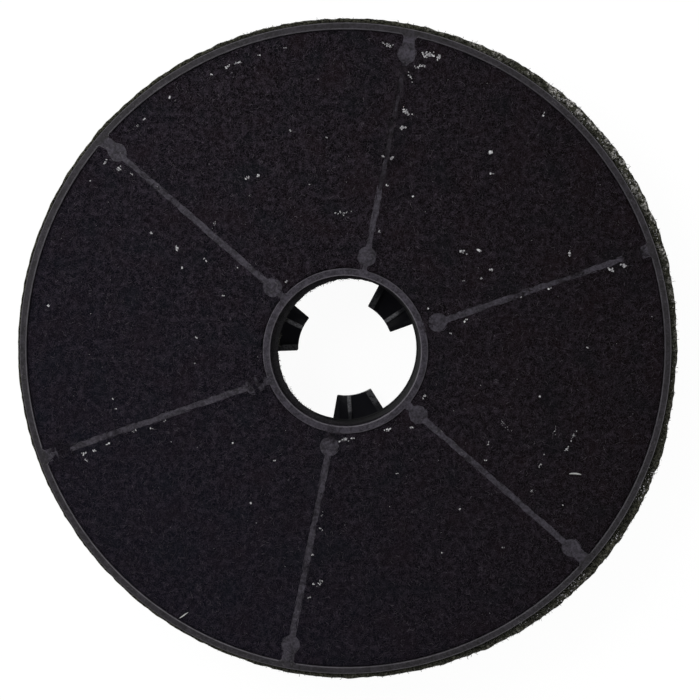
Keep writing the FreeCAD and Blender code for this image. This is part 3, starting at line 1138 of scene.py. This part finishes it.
def bore_finish_and_painted_light(reach, height, colour, rough, roughness, speckled):
    """Colour and roughness: a dull bore wall darkened by painted shade, glossy lugs, and painted highlights
    on the ribs, the stops and the lead-ins.
    """
    in_bore = between_mm(reach, SLEEVE_RADIUS - 0.2, SLEEVE_RADIUS - 0.4)
    on_lug = between_mm(reach, BORE_RADIUS - 0.35, BORE_RADIUS - 0.5)
    on_lug = multiply(on_lug, between_mm(height, 0.2, 0.4))
    wall = arithmetic("SUBTRACT", in_bore, on_lug, clamp=True)
    rough = add(rough, multiply(wall, 0.45), clamp=True)
    rough = arithmetic("SUBTRACT", rough, multiply(on_lug, roughness - 0.2))
    # Painted shade: the bore wall is darkened.
    colour = blend(multiply(wall, 0.85), colour, BORE_WALL_PAINTED_SHADE)
    colour = blend(on_lug, colour, LUG_BLACK)
    # Painted highlights on the stop, the detent rib and the lead-in of each lug.
    stop = between_mm(height, LUG_SEAT + 1.5, LUG_SEAT + 1.8)
    rib = between_mm(height, LUG_SEAT + 0.25, LUG_SEAT + 0.6)
    rib = multiply(rib, between_mm(reach, 24.6, 22.6, 0.12, 1.0))
    lead_in = between_mm(height, LUG_SEAT - 0.8, LUG_SEAT - 1.0)
    highlight_breakup = between(speckled, 0.0, 1.0, 0.4, 1.0)
    for mask, strength, highlight_tone in (
        (lead_in, 0.6, tone(54, 54, 57)),
        (rib, 0.85, tone(150, 150, 154)),
        (stop, 1.0, tone(36, 36, 38)),
    ):
        shown = multiply(multiply(mask, on_lug), strength)
        colour = blend(multiply(shown, highlight_breakup), colour, highlight_tone)
    return colour, rough


def hue_drift_and_painted_shade(tree, colour):
    """The fleece's colour, with painted shade that makes it warmer and darker toward the right, and bluer
    toward the lower left.
    """
    parts = split(object_place(tree))
    bluer = between_mm(add(parts["X"], parts["Y"]), 40, -120, 0.0, 0.3)
    painted_shade_right = between_mm(parts["X"], -40, 90, 0.0, 0.32)
    return blend(painted_shade_right, blend(bluer, colour, LOWER_LEFT_BLUE), RIGHT_PAINTED_SHADE)


def fleece_material(name, dark, light, warm, cool, depth, cut_edge):
    """Needled synthetic fleece, loaded with black dust. Its cut edge is paler and mottled."""
    material, tree, shader = new_material(name)
    mottle = use_group(tree, needled_mottle, {
        "Dark": dark, "Light": light, "Warm": warm, "Cool": cool, "Curl Scale": 1000.0,
    })
    colour = mottle["Colour"]
    if cut_edge:
        reach = vector_work("LENGTH", flattened(split(object_place(tree)))).outputs["Value"]
        beyond = between_mm(reach, RIM_RADIUS + 0.1, RIM_RADIUS + 0.7)
        in_bore = between_mm(reach, BORE_RADIUS + 0.2, BORE_RADIUS - 0.6, 0.0, 0.6)
        frayed = use_group(tree, frayed_wool)["Colour"]
        colour = blend(beyond, hue_drift_and_painted_shade(tree, colour), frayed)
        colour = blend(in_bore, colour, CUT_EDGE_IN_BORE)
    feed_inputs(shader, {
        "Base Color": colour,
        "Normal": bumped(mottle["Height"], 0.7, depth),
        "Roughness": 0.95,
        "Specular IOR Level": 0.05,
    })
    return material


def strand_material(name, dark, light, patch_scale, on_face=False, frayed=False):
    """Loose fibres, whose tone changes from one to the next."""
    material, tree, shader = new_material(name)
    patch = noise(object_place(tree), patch_scale, 2.0, 0.7)
    colour = blend(between(patch, 0.36, 0.66), dark, light)
    # Painted shade on the face fibres too: darker and warmer toward the right.
    if on_face:
        colour = hue_drift_and_painted_shade(tree, colour)
    if frayed:
        colour = blend(0.7, colour, use_group(tree, frayed_wool)["Colour"])
    feed_inputs(shader, {"Base Color": colour, "Roughness": 0.75, "Specular IOR Level": 0.15})
    return material


def granule_material():
    """Activated carbon granules, packed close."""
    material, tree, shader = new_material("activated_carbon")
    cells = add_node(tree, "TexVoronoi", {
        "Vector": object_place(tree), "Scale": 380.0, "Randomness": 1.0,
    }).outputs
    grey = add_node(tree, "SeparateColor", {"Color": cells["Color"]})
    feed_inputs(shader, {
        "Base Color": blend(grey.outputs[0], tone(14, 14, 15), tone(46, 46, 48)),
        "Normal": bumped(cells["Distance"], 1.0, 0.0012, invert=True),
        "Roughness": 0.6,
    })
    return material


# The paler colour of each is that of the painted highlight along its moulded edges.
grid_plastic = moulded_plastic("front_grid_plastic", tone(51, 48, 55), tone(115, 112, 118), 0.55, False)
shell_plastic = moulded_plastic("shell_plastic", tone(36, 36, 38), tone(80, 80, 82), 0.45, True)
front_felt = fleece_material(
    "front_fleece",
    dark=tone(9, 7, 10), light=tone(80, 72, 83), warm=tone(37, 27, 31), cool=tone(21, 27, 31),
    depth=0.0008, cut_edge=True,
)
rear_felt = fleece_material(
    "rear_fleece",
    dark=tone(17, 15, 18), light=tone(52, 48, 54), warm=tone(34, 29, 29), cool=tone(27, 29, 33),
    depth=0.0004, cut_edge=False,
)
dark_strand = strand_material("dark_fibre", tone(15, 12, 16), tone(76, 69, 77), 420.0, on_face=True)
grey_strand = strand_material("grey_fibre", tone(44, 40, 46), tone(128, 121, 129), 520.0, on_face=True)
fringe_strand = strand_material("frayed_fibre", tone(24, 25, 21), tone(120, 120, 112), 620.0, frayed=True)
lint_material = strand_material("lint", tone(130, 128, 132), tone(226, 225, 228), 900.0)
white_strand = strand_material("white_thread", tone(185, 185, 185), tone(232, 232, 230), 400.0)

# Moulded parts


def dress(node, material):
    """Gives a moulded node its one material."""
    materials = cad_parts[node].data.materials
    materials.clear()
    materials.append(material)


dress("front_frame", grid_plastic)
dress("rear_frame", shell_plastic)
dress("carbon_bed", granule_material())

# Soft parts

front_fleece = new_piece(
    "front_needled_fleece", *fleece_mesh(FRONT, front_inner_rows(), front_outer_rows()), front_felt,
)
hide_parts("front_fleece")

rear_fleece = new_piece(
    "rear_needled_fleece", *fleece_mesh(REAR, rear_inner_rows(), rear_outer_rows()), rear_felt,
)
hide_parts("rear_fleece")


def curled_strands():
    """The front's dark curls, and those matted over its arms."""
    loose = face_strands(
        FRONT, 6000, SEEDS["front curls"], length=(1.6, 4.4), thickness=(0.09, 0.18), lift=(0.05, 0.42),
    )
    matted = matted_strands(
        FRONT, OVERGROWN, per_mm=12, seed=SEEDS["matted curls"],
        length=(1.4, 3.4), thickness=(0.1, 0.2), lift=(0.1, 0.3),
    )
    return joined([loose, matted])


def pale_strands():
    """The front's paler curls."""
    return face_strands(
        FRONT, 4200, SEEDS["pale fibres"], arms=0.9,
        length=(0.8, 2.4), thickness=(0.07, 0.14), lift=(0.08, 0.4),
    )


def frayed_strands():
    """The fibres of the cut edge, round the rim and in the bore."""
    fringe = fringe_strands(
        3600, SEEDS["fringe"], thickness=(0.1, 0.22), reach=(0.9, 2.2), bunch=SEEDS["fringe bunches"],
    )
    return joined([fringe, bore_strands(SEEDS["bore fibres"])])


def rear_strands():
    """The rear's dark curls."""
    return face_strands(
        REAR, 4200, SEEDS["rear curls"], length=(1.6, 4.4), thickness=(0.08, 0.16), lift=(0.05, 0.4),
    )


# White threads on the front: x, y, heading, length and thickness.
THREADS = [(80.3, -44.1, 0.19, 4.4, 0.85), (-59.9, -96.4, 0.46, 3.9, 0.55)]
THREAD_LIFT = 0.35


def white_threads():
    """Two short white threads lying on the front."""
    rng = np.random.default_rng(SEEDS["threads"])
    level = level_on(FRONT)
    parts = []
    for thread in THREADS:
        x, y, heading, length, thickness = (np.array([value]) for value in thread)
        lift = np.array([THREAD_LIFT])
        bend = WANDER["thread"]
        parts.append(strands(x, y, heading, length, bend, thickness, lift, level, rng, joints=9))
    return joined(parts)


curled_fibres = new_piece("front_curled_fibres", *curled_strands(), dark_strand)
pale_fibres = new_piece("front_pale_fibres", *pale_strands(), grey_strand)
frayed_edge = new_piece("frayed_cut_edge", *frayed_strands(), fringe_strand)
all_lint = joined([lint_bits(SEEDS["lint"]), fringe_bits(SEEDS["fringe bits"])])
lint_flecks = new_piece("lint_flecks", *all_lint, lint_material, smooth=False)
rear_fibres = new_piece("rear_curled_fibres", *rear_strands(), dark_strand)
threads = new_piece("white_threads", *white_threads(), white_strand)

# Floor and light

# Sizes from here on are in metres.
FLOOR_HALF = 3.0
FLOOR_LEVEL = -0.0001
FLOOR_LIT = 0.8
FLOOR_SHADOW = 0.09
FLOOR_GLOW = 0.95
STUDIO_LIGHT = 0.5
CARD_HALF = 0.62
CARD_HEIGHT = 1.5
FACING_UP = ((-1, -1), (1, -1), (1, 1), (-1, 1))
FACING_DOWN = ((-1, -1), (-1, 1), (1, 1), (1, -1))
WHITE = (1, 1, 1, 1)


def grey_light(level):
    """A neutral colour."""
    return (level, level, level, 1.0)


def staged_square(name, half, height, corners, material):
    """A level square that stands round the filter and isn't part of it."""
    mesh = bpy.data.meshes.new(name)
    mesh.from_pydata([(x * half, y * half, height) for x, y in corners], [], [(0, 1, 2, 3)])
    mesh.materials.append(material)
    link_object(name, mesh)


def lit_or_seen(tree, kind, rays, lit, seen):
    """An output that lights the filter in one way and is seen in another, by the camera and some rays."""
    path = add_node(tree, "LightPath").outputs
    share = path["Is Camera Ray"]
    for ray in rays:
        share = arithmetic("MAXIMUM", share, path[ray])
    mixed = add_node(tree, "MixShader", {0: share, 1: lit.outputs[0], 2: seen.outputs[0]})
    add_node(tree, kind, {"Surface": mixed.outputs[0]})


def floor_material():
    """White paper that keeps a faint shadow where the camera sees it."""
    material = bpy.data.materials.new("white_floor")
    material.use_nodes = True
    tree = material.node_tree
    tree.nodes.clear()
    paper = add_node(tree, "BsdfDiffuse", {"Color": grey_light(FLOOR_LIT)})
    shadowed = add_node(tree, "BsdfDiffuse", {"Color": grey_light(FLOOR_SHADOW)})
    glow = add_node(tree, "Emission", {"Color": WHITE, "Strength": FLOOR_GLOW})
    shown = add_node(tree, "AddShader", {0: shadowed.outputs[0], 1: glow.outputs[0]})
    lit_or_seen(tree, "OutputMaterial", ["Is Transmission Ray"], paper, shown)
    return material


def studio_world():
    """A studio that is white where it is seen, and gives less light than it shows."""
    world = bpy.data.worlds.new("studio")
    world.use_nodes = True
    tree = world.node_tree
    tree.nodes.clear()
    light = add_node(tree, "Background", {"Color": WHITE, "Strength": STUDIO_LIGHT})
    white = add_node(tree, "Background", {"Color": WHITE, "Strength": 1.0})
    lit_or_seen(tree, "OutputWorld", ["Is Glossy Ray", "Is Transmission Ray"], light, white)
    return world


def softbox(name, place, size, energy):
    """Square soft lamp that faces the filter."""
    lamp = bpy.data.lights.new(name, "AREA")
    lamp.size = size
    lamp.energy = energy
    made = link_object(name, lamp)
    made.location = place
    made.rotation_mode = "QUATERNION"
    made.rotation_quaternion = Vector(place).to_track_quat("Z", "Y")


def card_material():
    """The velvet of a card that reflects nothing."""
    material, _, shader = new_material("card_velvet")
    feed_inputs(shader, {"Base Color": grey_light(0.01), "Roughness": 1.0, "Specular IOR Level": 0.0})
    return material


staged_square("floor", FLOOR_HALF, FLOOR_LEVEL, FACING_UP, floor_material())
bpy.context.scene.world = studio_world()
softbox("key_softbox", place=(-0.42, 0.3, 0.44), size=0.4, energy=2.3)
softbox("fill_softbox", place=(0.95, -0.35, 0.8), size=0.7, energy=1.3)

# The flat glossy faces see this card behind the camera instead of the studio.
staged_square("black_card", CARD_HALF, CARD_HEIGHT, FACING_DOWN, card_material())

view = bpy.context.scene.view_settings
view.view_transform = "Standard"
